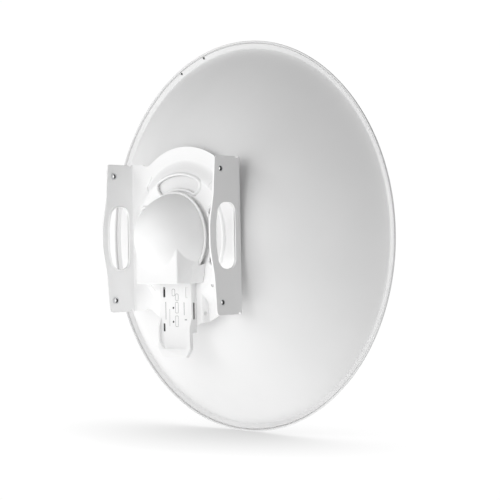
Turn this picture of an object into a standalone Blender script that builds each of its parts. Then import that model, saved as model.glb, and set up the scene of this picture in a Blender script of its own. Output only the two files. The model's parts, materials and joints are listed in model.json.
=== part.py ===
"""A point-to-point radio dish: a pressed reflector, its steel bracket, the radio and the feed.

The antenna looks along +Y, its back faces -Y and +Z is up. The origin lies on the outer face of
the right bracket flange, at the height of the dish's axis. Every part is drawn about the hub, the
empty on the dish's axis, in the plane where the bracket's flanges fold. Sizes are in metres.
"""

import math

import bmesh
import bpy
from mathutils import Matrix, Vector

# Fit between pieces that touch
GAP = 0.0003

# Reflector: a paraboloid y = r * r / PARABOLA with a flat sunk hub and a turned-back rim
RIM_RADIUS = 0.325
RIM_BEAD_RADIUS = 0.002
RIM_BEAD_Y = 0.1292
RIM_CREST_RADIUS = 0.3128
SKIN = 0.0015
PARABOLA = 0.660
BOWL_BOTTOM_Y = -0.0135
HUB_FLAT_Y = -0.0087
HUB_FLAT_RADIUS = 0.099
HUB_WALL_RADIUS = 0.114
HUB_HOLE_RADIUS = 0.032
RIM_HOLE_RADIUS = 0.0023
RIM_HOLE_AT = 0.3188
RIM_HOLE_ANGLES = (21.5, 32.0)
TURNED_STEPS = 72

# Bracket: folded sheet with a raised middle that goes on down to its lower edge
SHEET = 0.003
FOLD_X = 0.1267
FOLD_RADIUS = 0.004
FLANGE_Z = 0.1215
FLANGE_EDGE_Y = -0.0538
FLANGE_WAIST_Y = -0.0572
FLANGE_BELLY_Y = -0.0665
FLANGE_BELLY_Z = 0.075
FLANGE_CORNER = 0.006
PLATE_EDGE_RADIUS = 0.1445
PLATE_SHOULDER_X = 0.1187
PLATE_SHOULDER_Z = 0.121
RAISED_Y = -0.012
RAISED_TOP_RADIUS = 0.1005
RAISED_FOOT_RADIUS = 0.122
RAISED_HALF_WIDTH = 0.050
RAISED_WALL_SPREAD = 0.002
TONGUE_END_Z = -0.16
PLATE_HOLE_RADIUS = 0.045
SMALL_HOLE_RADIUS = 0.0022
SMALL_HOLE_AT = (0.0714, -0.0774)

SLOT_NEAR_Y = -0.0121
SLOT_BELLY_Y = -0.0536
SLOT_HALF_LENGTH = 0.051
SLOT_END_RADIUS = 0.014
FLANGE_HOLE_RADIUS = 0.0048
FLANGE_HOLE_Y = -0.042
FLANGE_HOLE_Z = 0.102
NOTCH_RADIUS = 0.003
NOTCH_Y = -0.0065

# Clinch nuts pressed into the flange holes from inside
NUT_HEAD_RADIUS = 0.0058
NUT_HEAD_HEIGHT = 0.0016
NUT_BORE_RADIUS = 0.0035
NUT_STEPS = 20

WINDOW_INNER_RADIUS = 0.0725
WINDOW_OUTER_RADIUS = 0.103
WINDOW_HALF_ANGLE = 34.6
WINDOW_CORNER_ANGLE = 8.0
WINDOW_LIP = 0.005
WINDOW_LIP_Y = -0.015
WINDOW_TURNS = (0.0, 90.0, 270.0)

# How far the cutters of the bracket and the bowl run
CUT_REACH = 0.2
CUT_FRONT_Y = 0.02
CUT_BACK_Y = -0.075

# Studs on the bracket's front with round nuts that hold the reflector
SCREW_X = 0.0625
SCREW_Z = 0.0625
STUD_RADIUS = 0.0036
SCREW_HOLE_RADIUS = 0.0042
SCREW_HEAD_RADIUS = 0.008
SCREW_HEAD_HEIGHT = 0.004

# Housing behind the bracket
DRUM_RADIUS = 0.058
RING_RADIUS = 0.0721
RING_FRONT_Y = -0.021
RING_BACK_Y = -0.0242
NECK_RADIUS = 0.030
NECK_END_Y = 0.004
DOME_RADIUS = 0.069
DOME_BACK_Y = -0.089
DOME_POWER = 1.5
BOX_HALF_WIDTH = 0.0483
BOX_FOOT_HALF_WIDTH = 0.050
BOX_BACK_Y = -0.0633
BOX_TOP_Z = 0.020
BOX_LOW_Z = -0.0735
BOX_CORNER = 0.0045
BOX_EDGE = 0.0012

# Radio body below the housing, and the cover over its cable socket
BODY_HALF_WIDTH = 0.0365
BODY_BACK_Y = -0.0207
BODY_TOP_Z = -0.0595
BODY_LOW_Z = -0.152
POCKET_X = 0.0315
POCKET_SIZE = (0.005, 0.004, 0.016)
POCKET_Z = -0.085
COVER_TOP_Z = -0.121
COVER_LOW_Z = -0.191
COVER_RAMP_Z = -0.137
COVER_WEB_Y = -0.0245
COVER_RIM_Y = -0.028
COVER_HALF_WIDTH = 0.0365
COVER_RIM = 0.0042
COVER_FOOT = 0.013
COVER_CORNER = 0.010
COVER_TOP_EDGE = 0.0009
CLIP_Z = -0.1385
CLIP_SIZE = (0.0034, 0.004, 0.012)
SOCKET_SIZE = (0.0165, 0.0072, 0.016)
SOCKET_HOLLOW = (0.0117, 0.0050, 0.012)

# Feed inside the bowl
COLLAR_RADIUS = 0.050
COLLAR_TOP_RADIUS = 0.037
COLLAR_HEIGHT = 0.009
TUBE_FOOT_RADIUS = 0.029
TUBE_TOP_RADIUS = 0.0225
TUBE_TOP_Y = 0.098
CONE_TOP_RADIUS = 0.034
CONE_TOP_Y = 0.113
SUB_REFLECTOR_RADIUS = 0.042
SUB_REFLECTOR_TOP_Y = 0.121
CAP_TOP_Y = 0.132
FEED_STEPS = 40

HUB_PLACE = Vector((-FOLD_X, 0.007, 0.0))


def clear_scene():
    """Removes everything that the start-up scene holds."""
    for thing in list(bpy.data.objects):
        bpy.data.objects.remove(thing)


def material(name, colour, roughness, metallic=0.0):
    """A Principled material of one plain finish."""
    made = bpy.data.materials.new(name)
    made.use_nodes = True
    shader = made.node_tree.nodes["Principled BSDF"]
    shader.inputs["Base Color"].default_value = (*colour, 1.0)
    shader.inputs["Roughness"].default_value = roughness
    shader.inputs["Metallic"].default_value = metallic
    return made


def place(name, mesh_maker, finish, cutter=False):
    """Turns a bmesh into an object that hangs on the hub."""
    mesh = bpy.data.meshes.new(name)
    bmesh.ops.remove_doubles(mesh_maker, verts=mesh_maker.verts, dist=1e-6)
    bmesh.ops.recalc_face_normals(mesh_maker, faces=mesh_maker.faces)
    mesh_maker.to_mesh(mesh)
    mesh_maker.free()
    thing = bpy.data.objects.new(name, mesh)
    bpy.context.scene.collection.objects.link(thing)
    thing.parent = HUB
    if finish:
        mesh.materials.append(finish)
    if cutter:
        thing.hide_render = True
        thing.display_type = "WIRE"
    else:
        mesh.shade_smooth()
        mesh.set_sharp_from_angle(angle=math.radians(35))
    return thing


def boolean(thing, cutter, operation="DIFFERENCE"):
    """Adds one live Boolean to a piece."""
    cut = thing.modifiers.new(cutter.name, "BOOLEAN")
    cut.operation = operation
    cut.object = cutter


def turned(profile, steps, at=(0.0, 0.0)):
    """A closed outline of (radius, y) points, turned about the Y axis through at = (x, z)."""
    made = bmesh.new()
    corners = [made.verts.new((radius, y, 0.0)) for radius, y in profile]
    for first, second in zip(corners, corners[1:] + corners[:1]):
        if first.co.x > 0 or second.co.x > 0:
            made.edges.new((first, second))
    bmesh.ops.spin(
        made,
        geom=list(made.verts) + list(made.edges),
        cent=(0, 0, 0),
        axis=(0, 1, 0),
        angle=math.tau,
        steps=steps,
        use_merge=True,
    )
    bmesh.ops.remove_doubles(made, verts=made.verts, dist=1e-6)
    bmesh.ops.translate(made, verts=made.verts, vec=(at[0], 0.0, at[1]))
    return made


def drum(radius, y_low, y_high, steps, at=(0.0, 0.0)):
    """A plain cylinder along Y."""
    return turned([(0.0, y_low), (radius, y_low), (radius, y_high), (0.0, y_high)], steps, at)


def prism_along(axis, outline, low, high):
    """An outline drawn across one axis and pulled along it: (y, z), (x, z) or (x, y) points."""
    place_for = {"X": 0, "Y": 1, "Z": 2}[axis]
    made = bmesh.new()
    corners = []
    for point in outline:
        spot = list(point)
        spot.insert(place_for, low)
        corners.append(made.verts.new(spot))
    pull = Vector((0.0, 0.0, 0.0))
    pull[place_for] = high - low
    face = made.faces.new(corners)
    grown = bmesh.ops.extrude_face_region(made, geom=[face])
    tops = [item for item in grown["geom"] if isinstance(item, bmesh.types.BMVert)]
    bmesh.ops.translate(made, verts=tops, vec=pull)
    return made


def block(low, high):
    """A box between two corners."""
    made = bmesh.new()
    bmesh.ops.create_cube(made, size=1.0)
    middle = (Vector(low) + Vector(high)) / 2
    size = Vector(high) - Vector(low)
    bmesh.ops.transform(
        made, matrix=Matrix.Translation(middle) @ Matrix.Diagonal((*size, 1.0)), verts=made.verts
    )
    return made


def smooth_step(share):
    """Eases from 0 to 1 as share goes from 0 to 1."""
    share = min(1.0, max(0.0, share))
    return share * share * (3.0 - 2.0 * share)


def spread(low, high, count):
    """Evenly spaced numbers from low to high, both included."""
    return [low + (high - low) * step / (count - 1) for step in range(count)]


def bowl_back(radius):
    """The y of the reflector's back skin at a radius outside the hub."""
    return BOWL_BOTTOM_Y + radius * radius / PARABOLA


def bowl_front(radius):
    """The y of the reflector's front skin, one skin thickness away along the normal."""
    return bowl_back(radius) + SKIN * math.hypot(1.0, 2.0 * radius / PARABOLA)


def reflector_outline():
    """The section of the bowl: back skin, rim bead, front skin."""
    radii = spread(HUB_WALL_RADIUS, RIM_CREST_RADIUS - 0.0012, 10)
    back = [(HUB_HOLE_RADIUS, HUB_FLAT_Y), (HUB_FLAT_RADIUS, HUB_FLAT_Y)]
    back += [(radius, bowl_back(radius)) for radius in radii]
    crest_y = bowl_back(RIM_CREST_RADIUS)
    back.append((RIM_CREST_RADIUS, crest_y))
    bead = []
    for turn in spread(200.0, 500.0, 9):
        way = math.radians(turn)
        bead.append(
            (
                RIM_RADIUS - RIM_BEAD_RADIUS + RIM_BEAD_RADIUS * math.cos(way),
                RIM_BEAD_Y + RIM_BEAD_RADIUS * math.sin(way),
            )
        )
    front = [(RIM_CREST_RADIUS + 0.0006, crest_y + SKIN)]
    front += [(radius, bowl_front(radius)) for radius in reversed(radii)]
    inner = HUB_FLAT_RADIUS - SKIN * 0.5
    front += [(inner, HUB_FLAT_Y + SKIN), (HUB_HOLE_RADIUS, HUB_FLAT_Y + SKIN)]
    return back + bead + front


def make_reflector(finish):
    """The pressed bowl with two small holes through its rim at the upper left."""
    reflector = place("reflector", turned(reflector_outline(), TURNED_STEPS), finish)
    holes = []
    for angle in RIM_HOLE_ANGLES:
        way = math.radians(angle)
        spot = (-RIM_HOLE_AT * math.sin(way), RIM_HOLE_AT * math.cos(way))
        holes.append(drum(RIM_HOLE_RADIUS, RIM_BEAD_Y - 0.01, RIM_BEAD_Y + 0.02, 10, spot))
    for spot in screw_spots():
        holes.append(drum(SCREW_HOLE_RADIUS, -CUT_FRONT_Y, 0.0, 12, spot))
    boolean(reflector, place("reflector_holes", together(holes), None, cutter=True))


def screw_spots():
    """The four stud places, clockwise from the upper right as seen from behind."""
    return [
        (SCREW_X, SCREW_Z),
        (SCREW_X, -SCREW_Z),
        (-SCREW_X, -SCREW_Z),
        (-SCREW_X, SCREW_Z),
    ]


def channel(half_width, front_y, back_y, radius, half_length):
    """A bar along Z whose two front edges are round."""
    points = [(-half_width, back_y), (half_width, back_y)]
    for centre_x, start in ((half_width - radius, 0.0), (radius - half_width, 90.0)):
        for turn in spread(start, start + 90.0, 5):
            way = math.radians(turn)
            points.append(
                (centre_x + radius * math.cos(way), front_y - radius + radius * math.sin(way))
            )
    return prism_along("Z", points, -half_length, half_length)


def raised_disc(inset, front_y):
    """The round raised middle of the plate, or its hollow side with inset = SHEET."""
    shrink = inset * 0.5
    top = RAISED_TOP_RADIUS - shrink
    foot = RAISED_FOOT_RADIUS - shrink
    slope = (foot - top) / -RAISED_Y
    far = foot + slope * (front_y - inset)
    y_top = RAISED_Y + inset
    return turned([(0.0, y_top), (top, y_top), (far, front_y), (0.0, front_y)], TURNED_STEPS)


def raised_tongue(inset, front_y):
    """The raised middle going on down past the plate's lower edge."""
    half = RAISED_HALF_WIDTH - inset
    far = half + RAISED_WALL_SPREAD * (front_y - RAISED_Y) / -RAISED_Y
    y_top = RAISED_Y + inset
    outline = [(-half, y_top), (half, y_top), (far, front_y), (-far, front_y)]
    return prism_along("Z", outline, TONGUE_END_Z, -PLATE_HOLE_RADIUS)


def plate_edge():
    """The plate's upper edge from right to left: a shoulder, a dip and the big arc."""
    shoulder = [(PLATE_SHOULDER_X, PLATE_SHOULDER_Z), (0.105, PLATE_SHOULDER_Z)]
    shoulder += [(0.097, 0.1195), (0.089, 0.1178), (0.081, 0.1195)]
    arc = []
    for turn in spread(60.0, 120.0, 17):
        way = math.radians(turn)
        arc.append((PLATE_EDGE_RADIUS * math.cos(way), PLATE_EDGE_RADIUS * math.sin(way)))
    return shoulder + arc + [(-x, z) for x, z in reversed(shoulder)]


def plate_trim(sign):
    """What is cut away above (sign 1) or below (sign -1) the plate's curved edge."""
    outline = [(x, sign * z) for x, z in plate_edge()]
    outline += [(-PLATE_SHOULDER_X, sign * CUT_REACH), (PLATE_SHOULDER_X, sign * CUT_REACH)]
    return prism_along("Y", outline, -CUT_FRONT_Y, CUT_FRONT_Y)


def flange_edge(z):
    """The y of the flange's free edge at a height."""
    height = abs(z)
    waist_share = min(1.0, max(0.0, (height - FLANGE_BELLY_Z) / (FLANGE_Z - FLANGE_BELLY_Z)))
    straight = FLANGE_WAIST_Y + (FLANGE_EDGE_Y - FLANGE_WAIST_Y) * waist_share
    belly = smooth_step(1.15 * (1.0 - height / FLANGE_BELLY_Z))
    return straight + (FLANGE_BELLY_Y - FLANGE_WAIST_Y) * belly


def corner_inset(height, half_length, radius):
    """How far an outline has turned in at a height, where its end is round."""
    into = height - (half_length - radius)
    if into <= 0:
        return 0.0
    return radius - math.sqrt(max(0.0, radius * radius - into * into))


def flange_trim():
    """What is cut away beyond the flanges' free edges."""
    corner_y = flange_edge(FLANGE_Z) + FLANGE_CORNER
    outline = [(-CUT_REACH, -CUT_REACH), (corner_y, -CUT_REACH)]
    for z in spread(-FLANGE_Z, FLANGE_Z, 61):
        inset = corner_inset(abs(z), FLANGE_Z, FLANGE_CORNER)
        outline.append((flange_edge(z) + inset, z))
    outline += [(corner_y, CUT_REACH), (-CUT_REACH, CUT_REACH)]
    return prism_along("X", outline, -CUT_REACH, CUT_REACH)


def slot_outline():
    """The flange slot: straight beside the fold, bowed like the free edge, round ends."""
    heights = spread(-SLOT_HALF_LENGTH, SLOT_HALF_LENGTH, 35)
    near = []
    bowed = []
    for z in heights:
        inset = corner_inset(abs(z), SLOT_HALF_LENGTH, SLOT_END_RADIUS)
        near.append((SLOT_NEAR_Y - inset, z))
        bowed.append((flange_edge(z) + SLOT_BELLY_Y - FLANGE_BELLY_Y + inset, z))
    return near + list(reversed(bowed))


def window_outline(turn, inset):
    """A kidney between two arcs with round ends, drawn in by inset and turned about the hub."""
    points = []
    middle = (WINDOW_INNER_RADIUS + WINDOW_OUTER_RADIUS) / 2
    half_wide = (WINDOW_OUTER_RADIUS - WINDOW_INNER_RADIUS) / 2 - inset
    straight = WINDOW_HALF_ANGLE - WINDOW_CORNER_ANGLE
    corner = WINDOW_CORNER_ANGLE - math.degrees(inset / middle)
    outer = [(angle, half_wide) for angle in spread(-straight, straight, 12)]
    right = []
    for way in spread(90.0, -90.0, 9)[1:-1]:
        turned_in = math.radians(way)
        right.append((straight + corner * math.cos(turned_in), half_wide * math.sin(turned_in)))
    inner = [(angle, -half_wide) for angle in spread(straight, -straight, 12)]
    left = [(-angle, offset) for angle, offset in reversed(right)]
    for angle, offset in outer + right + inner + left:
        way = math.radians(angle + turn)
        points.append(((middle + offset) * math.sin(way), (middle + offset) * math.cos(way)))
    return points


def make_bracket(finish):
    """One folded sheet: a channel, with its floor raised in the middle and cut to its outline."""
    outside = channel(FOLD_X, SHEET, CUT_BACK_Y, FOLD_RADIUS + SHEET, PLATE_EDGE_RADIUS + SHEET)
    bracket = place("mount_bracket", outside, finish)
    inside = channel(FOLD_X - SHEET, 0.0, -CUT_REACH, FOLD_RADIUS, CUT_REACH)
    boolean(bracket, place("bracket_room", inside, None, cutter=True))
    disc = place("raised_disc_back", raised_disc(0.0, SHEET / 2), None, cutter=True)
    boolean(bracket, disc, "UNION")
    tongue = place("raised_tongue_back", raised_tongue(0.0, SHEET / 2), None, cutter=True)
    boolean(bracket, tongue, "UNION")
    lips = []
    for turn in WINDOW_TURNS:
        lips.append(prism_along("Y", window_outline(turn, 0.0), WINDOW_LIP_Y, RAISED_Y / 2))
    boolean(bracket, place("window_lips", together(lips), None, cutter=True), "UNION")
    hollow = place("raised_disc_front", raised_disc(SHEET, CUT_FRONT_Y), None, cutter=True)
    boolean(bracket, hollow)
    hollow = place("raised_tongue_front", raised_tongue(SHEET, CUT_FRONT_Y), None, cutter=True)
    boolean(bracket, hollow)
    for name, sign in (("upper", 1), ("lower", -1)):
        boolean(bracket, place(f"{name}_plate_trim", plate_trim(sign), None, cutter=True))
        low, high = sorted((sign * FLANGE_Z, sign * CUT_REACH))
        for side in (1, -1):
            x_low, x_high = sorted((side * (PLATE_SHOULDER_X - 0.001), side * CUT_REACH))
            end = block((x_low, -CUT_REACH, low), (x_high, CUT_FRONT_Y, high))
            boolean(bracket, place(f"{name}_end_trim_{side}", end, None, cutter=True))
    boolean(bracket, place("flange_trim", flange_trim(), None, cutter=True))
    across = [prism_along("X", slot_outline(), -CUT_REACH, CUT_REACH)]
    for sign in (1, -1):
        across.append(along_x_drum(FLANGE_HOLE_RADIUS, (FLANGE_HOLE_Y, sign * FLANGE_HOLE_Z)))
        across.append(along_x_drum(NOTCH_RADIUS, (NOTCH_Y, sign * FLANGE_Z)))
    boolean(bracket, place("flange_openings", together(across), None, cutter=True))
    through = [drum(PLATE_HOLE_RADIUS, -CUT_FRONT_Y, CUT_FRONT_Y, 40)]
    for turn in WINDOW_TURNS:
        outline = window_outline(turn, WINDOW_LIP)
        through.append(prism_along("Y", outline, -CUT_FRONT_Y, CUT_FRONT_Y))
    through.append(drum(SMALL_HOLE_RADIUS, -CUT_FRONT_Y, CUT_FRONT_Y, 12, SMALL_HOLE_AT))
    boolean(bracket, place("plate_openings", together(through), None, cutter=True))


def together(shapes):
    """Several separate shapes in one bmesh."""
    made = bmesh.new()
    for shape in shapes:
        bmesh.ops.recalc_face_normals(shape, faces=shape.faces)
        scratch = bpy.data.meshes.new("scratch")
        shape.to_mesh(scratch)
        shape.free()
        made.from_mesh(scratch)
        bpy.data.meshes.remove(scratch)
    return made


def along_x_drum(radius, at):
    """A cutter along X through both flanges at (y, z)."""
    outline = []
    for step in range(16):
        way = math.tau * step / 16
        outline.append((at[0] + radius * math.cos(way), at[1] + radius * math.sin(way)))
    return prism_along("X", outline, -CUT_REACH, CUT_REACH)


def make_clinch_nuts(zinc):
    """Four nuts whose collars lie on the flanges' inner faces, their shanks in the flange holes."""
    seat = SHEET + GAP
    shank = FLANGE_HOLE_RADIUS - GAP
    outline = [
        (NUT_BORE_RADIUS, GAP),
        (shank, GAP),
        (shank, seat),
        (NUT_HEAD_RADIUS, seat),
        (NUT_HEAD_RADIUS, seat + NUT_HEAD_HEIGHT),
        (NUT_BORE_RADIUS, seat + NUT_HEAD_HEIGHT),
    ]
    for side, across in (("right", 1), ("left", -1)):
        for level, up in (("upper", 1), ("lower", -1)):
            nut = turned(outline, NUT_STEPS)
            spot = Vector((across * FOLD_X, FLANGE_HOLE_Y, up * FLANGE_HOLE_Z))
            turn = Matrix.Rotation(across * math.pi / 2, 4, "Z")
            bmesh.ops.transform(nut, matrix=Matrix.Translation(spot) @ turn, verts=nut.verts)
            place(f"clinch_nut_{level}_{side}", nut, zinc)


def make_screws(zinc):
    """Four studs on the plate's front, each with a domed nut on the bowl's flat hub."""
    names = ("upper_right", "lower_right", "lower_left", "upper_left")
    foot = RAISED_Y + SHEET + GAP
    seat = HUB_FLAT_Y + SKIN + GAP
    outline = [(0.0, foot), (STUD_RADIUS, foot), (STUD_RADIUS, seat)]
    for turn in spread(0.0, 90.0, 5):
        way = math.radians(turn)
        outline.append((SCREW_HEAD_RADIUS * math.cos(way), seat + SCREW_HEAD_HEIGHT * math.sin(way)))
    for name, spot in zip(names, screw_spots()):
        place(f"screw_{name}", turned(outline, 20, spot), zinc)


def make_housing_base(finish):
    """Drum on the plate, the brim under the dome, and the neck through plate and bowl."""
    foot = RAISED_Y - GAP
    profile = [
        (0.0, RING_BACK_Y),
        (RING_RADIUS, RING_BACK_Y),
        (RING_RADIUS, RING_FRONT_Y),
        (DRUM_RADIUS, RING_FRONT_Y),
        (DRUM_RADIUS, foot),
        (NECK_RADIUS, foot),
        (NECK_RADIUS, NECK_END_Y),
        (0.0, NECK_END_Y),
    ]
    place("housing_base", turned(profile, 48), finish)


def dome_outline():
    """The dome's section: full at the brim and rather pointed at the crown."""
    foot = RING_BACK_Y - GAP
    depth = foot - DOME_BACK_Y
    points = [(0.0, foot)]
    for share in spread(0.0, 1.0, 13):
        way = math.sin(share * math.pi / 2)
        radius = DOME_RADIUS * math.sqrt(max(0.0, 1.0 - way**DOME_POWER))
        points.append((radius, foot - depth * way))
    return points


def round_edges(made, edges, radius):
    """Rounds some edges of a bmesh."""
    bmesh.ops.bevel(
        made,
        geom=edges,
        affect="EDGES",
        offset=radius,
        segments=3,
        profile=0.5,
        material=-1,
    )


def housing_box():
    """The box under the dome: its two upright back edges well rounded, its lower ones a little."""
    foot = RING_BACK_Y - GAP
    outline = [
        (-BOX_FOOT_HALF_WIDTH, foot),
        (BOX_FOOT_HALF_WIDTH, foot),
        (BOX_HALF_WIDTH, BOX_BACK_Y),
        (-BOX_HALF_WIDTH, BOX_BACK_Y),
    ]
    made = prism_along("Z", outline, BOX_LOW_Z, BOX_TOP_Z)
    upright = []
    for edge in made.edges:
        first, second = (vert.co for vert in edge.verts)
        if abs(first.z - second.z) > 0.01 and first.y < foot - 0.01:
            upright.append(edge)
    round_edges(made, upright, BOX_CORNER)
    lower = []
    for edge in made.edges:
        first, second = (vert.co for vert in edge.verts)
        if max(first.z, second.z) < BOX_LOW_Z + 0.001 and min(first.y, second.y) < foot - 0.01:
            lower.append(edge)
    round_edges(made, lower, BOX_EDGE)
    return made


def make_housing_cover(finish):
    """The moulded cover: a dome, a box growing out of it, and the box's two corner feet."""
    cover = place("housing_cover", turned(dome_outline(), 56), finish)
    boolean(cover, place("housing_box", housing_box(), None, cutter=True), "UNION")
    ring = place("brim_room", drum(RING_RADIUS + GAP, -0.03, 0.0, 48), None, cutter=True)
    for name, sign in (("right", 1), ("left", -1)):
        inner = BODY_HALF_WIDTH + GAP
        x_low, x_high = sorted((sign * inner, sign * BOX_FOOT_HALF_WIDTH))
        foot = block((x_low, -0.034, BOX_LOW_Z), (x_high, RAISED_Y - GAP, -0.045))
        corner = place(f"cover_foot_{name}", foot, None, cutter=True)
        boolean(corner, ring)
        boolean(cover, corner, "UNION")


def make_radio_body(finish):
    """The flat radio body under the housing, with a socket bay and two clip pockets."""
    low = (-BODY_HALF_WIDTH, BODY_BACK_Y, BODY_LOW_Z)
    high = (BODY_HALF_WIDTH, RAISED_Y - GAP, BODY_TOP_Z)
    body = place("radio_body", block(low, high), finish)
    wide, deep, tall = SOCKET_SIZE
    middle_y = (RAISED_Y + BODY_BACK_Y) / 2
    bay = block(
        (-wide / 2 - GAP, middle_y - deep / 2 - GAP, BODY_LOW_Z - 0.01),
        (wide / 2 + GAP, middle_y + deep / 2 + GAP, BODY_LOW_Z + tall + GAP),
    )
    boolean(body, place("socket_bay", bay, None, cutter=True))
    drum_room = drum(DRUM_RADIUS + GAP, -0.03, 0.0, 48)
    boolean(body, place("drum_room", drum_room, None, cutter=True))
    for name, sign in (("right", 1), ("left", -1)):
        wide, deep, tall = POCKET_SIZE
        pocket = block(
            (sign * POCKET_X - wide / 2, BODY_BACK_Y - 0.01, POCKET_Z - tall / 2),
            (sign * POCKET_X + wide / 2, BODY_BACK_Y + deep, POCKET_Z + tall / 2),
        )
        boolean(body, place(f"clip_pocket_{name}", pocket, None, cutter=True))


def make_socket(finish):
    """The cable socket, open downwards."""
    wide, deep, tall = SOCKET_SIZE
    middle_y = (RAISED_Y + BODY_BACK_Y) / 2
    shell = block(
        (-wide / 2, middle_y - deep / 2, BODY_LOW_Z), (wide / 2, middle_y + deep / 2, BODY_LOW_Z + tall)
    )
    socket = place("cable_socket", shell, finish)
    wide, deep, tall = SOCKET_HOLLOW
    hollow = block(
        (-wide / 2, middle_y - deep / 2, BODY_LOW_Z - 0.01),
        (wide / 2, middle_y + deep / 2, BODY_LOW_Z + tall),
    )
    boolean(socket, place("socket_hollow", hollow, None, cutter=True))


def cover_outline(inset, foot):
    """The (x, z) outline of the port cover, its lower corners cut off."""
    half = COVER_HALF_WIDTH - inset
    low = COVER_LOW_Z + foot
    corner = max(0.0015, COVER_CORNER - inset)
    return [
        (half, COVER_TOP_Z),
        (half, low + corner * 1.3),
        (half - corner, low),
        (corner - half, low),
        (-half, low + corner * 1.3),
        (-half, COVER_TOP_Z),
    ]


def make_port_cover(finish):
    """A tongue over the socket with a raised rim round three sides, which ramps up at the top."""
    top = BODY_BACK_Y - GAP
    rim = prism_along("Y", cover_outline(0.0, 0.0), COVER_RIM_Y, top)
    cover = place("port_cover", rim, finish)
    tray = prism_along("Y", cover_outline(COVER_RIM, COVER_FOOT), COVER_RIM_Y - 0.01, COVER_WEB_Y)
    bmesh.ops.translate(
        tray, verts=[v for v in tray.verts if v.co.z > COVER_TOP_Z - 0.001], vec=(0, 0, 0.02)
    )
    boolean(cover, place("cover_tray", tray, None, cutter=True))
    ramp = prism_along(
        "X",
        [
            (top - COVER_TOP_EDGE, COVER_TOP_Z + 0.001),
            (COVER_RIM_Y - 0.0005, COVER_RAMP_Z),
            (COVER_RIM_Y - 0.01, COVER_RAMP_Z),
            (COVER_RIM_Y - 0.01, COVER_TOP_Z + 0.01),
            (top - COVER_TOP_EDGE, COVER_TOP_Z + 0.01),
        ],
        -0.1,
        0.1,
    )
    boolean(cover, place("cover_ramp", ramp, None, cutter=True))
    for name, sign in (("right", 1), ("left", -1)):
        wide, deep, tall = CLIP_SIZE
        window = block(
            (sign * POCKET_X - wide / 2 - GAP, -0.04, CLIP_Z - tall / 2 - GAP),
            (sign * POCKET_X + wide / 2 + GAP, 0.0, CLIP_Z + tall / 2 + GAP),
        )
        boolean(cover, place(f"clip_window_{name}", window, None, cutter=True))


def make_clips(finish):
    """The two clips on the radio body that hold the cover, and the two spare ones above."""
    wide, deep, tall = CLIP_SIZE
    for name, sign in (("right", 1), ("left", -1)):
        x_low = sign * POCKET_X - wide / 2
        x_high = sign * POCKET_X + wide / 2
        lower = block(
            (x_low, BODY_BACK_Y - GAP - deep + 0.001, CLIP_Z - tall / 2),
            (x_high, BODY_BACK_Y - GAP, CLIP_Z + tall / 2),
        )
        place(f"cover_clip_{name}", lower, finish)
        bottom = BODY_BACK_Y + POCKET_SIZE[1] - GAP
        upper = block(
            (x_low, bottom - 0.0025, POCKET_Z - tall / 2), (x_high, bottom, POCKET_Z + tall / 2)
        )
        place(f"body_clip_{name}", upper, finish)


def make_feed(plastic, metal):
    """The feed on the dish's axis: collar, tube, cone, sub-reflector and cap."""
    seat = HUB_FLAT_Y + SKIN + GAP
    collar = [
        (NECK_RADIUS + GAP, seat),
        (COLLAR_RADIUS, seat),
        (COLLAR_RADIUS, seat + COLLAR_HEIGHT * 0.4),
        (COLLAR_TOP_RADIUS, seat + COLLAR_HEIGHT),
        (NECK_RADIUS + GAP, seat + COLLAR_HEIGHT),
    ]
    place("feed_collar", turned(collar, FEED_STEPS), plastic)
    tube = [
        (0.0, NECK_END_Y + GAP),
        (TUBE_FOOT_RADIUS, NECK_END_Y + GAP),
        (TUBE_FOOT_RADIUS, NECK_END_Y + 0.04),
        (TUBE_TOP_RADIUS, NECK_END_Y + 0.07),
        (TUBE_TOP_RADIUS, TUBE_TOP_Y),
        (0.0, TUBE_TOP_Y),
    ]
    place("feed_tube", turned(tube, FEED_STEPS), plastic)
    cone = [
        (0.0, TUBE_TOP_Y + GAP),
        (TUBE_TOP_RADIUS - 0.003, TUBE_TOP_Y + GAP),
        (CONE_TOP_RADIUS, CONE_TOP_Y),
        (0.0, CONE_TOP_Y),
    ]
    place("feed_cone", turned(cone, FEED_STEPS), plastic)
    mirror = [
        (0.0, CONE_TOP_Y + GAP),
        (SUB_REFLECTOR_RADIUS, CONE_TOP_Y + GAP),
        (SUB_REFLECTOR_RADIUS, SUB_REFLECTOR_TOP_Y),
        (0.0, SUB_REFLECTOR_TOP_Y),
    ]
    place("sub_reflector", turned(mirror, FEED_STEPS), metal)
    crown = []
    for turn in spread(0.0, 90.0, 6):
        way = math.radians(turn)
        crown.append(
            (
                SUB_REFLECTOR_RADIUS * math.cos(way),
                SUB_REFLECTOR_TOP_Y + GAP + (CAP_TOP_Y - SUB_REFLECTOR_TOP_Y - GAP) * math.sin(way),
            )
        )
    cap = [(0.0, SUB_REFLECTOR_TOP_Y + GAP), *crown]
    place("feed_cap", turned(cap, FEED_STEPS), plastic)


clear_scene()
HUB = bpy.data.objects.new("hub", None)
HUB.location = HUB_PLACE
bpy.context.scene.collection.objects.link(HUB)

reflector_paint = material("reflector_paint", (0.86, 0.87, 0.87), 0.42)
bracket_paint = material("bracket_paint", (0.90, 0.90, 0.90), 0.38)
housing_plastic = material("housing_plastic", (0.91, 0.91, 0.91), 0.45)
dark_plastic = material("dark_plastic", (0.05, 0.05, 0.05), 0.5)
zinc_steel = material("zinc_steel", (0.62, 0.62, 0.63), 0.35, 1.0)
mirror_metal = material("sub_reflector_metal", (0.80, 0.80, 0.81), 0.25, 1.0)

make_reflector(reflector_paint)
make_bracket(bracket_paint)
make_clinch_nuts(zinc_steel)
make_screws(zinc_steel)
make_housing_base(housing_plastic)
make_housing_cover(housing_plastic)
make_radio_body(housing_plastic)
make_socket(dark_plastic)
make_port_cover(housing_plastic)
make_clips(dark_plastic)
make_feed(housing_plastic, mirror_metal)
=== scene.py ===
import json
import math

import bmesh
import bpy
from mathutils import Matrix, Vector


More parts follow.
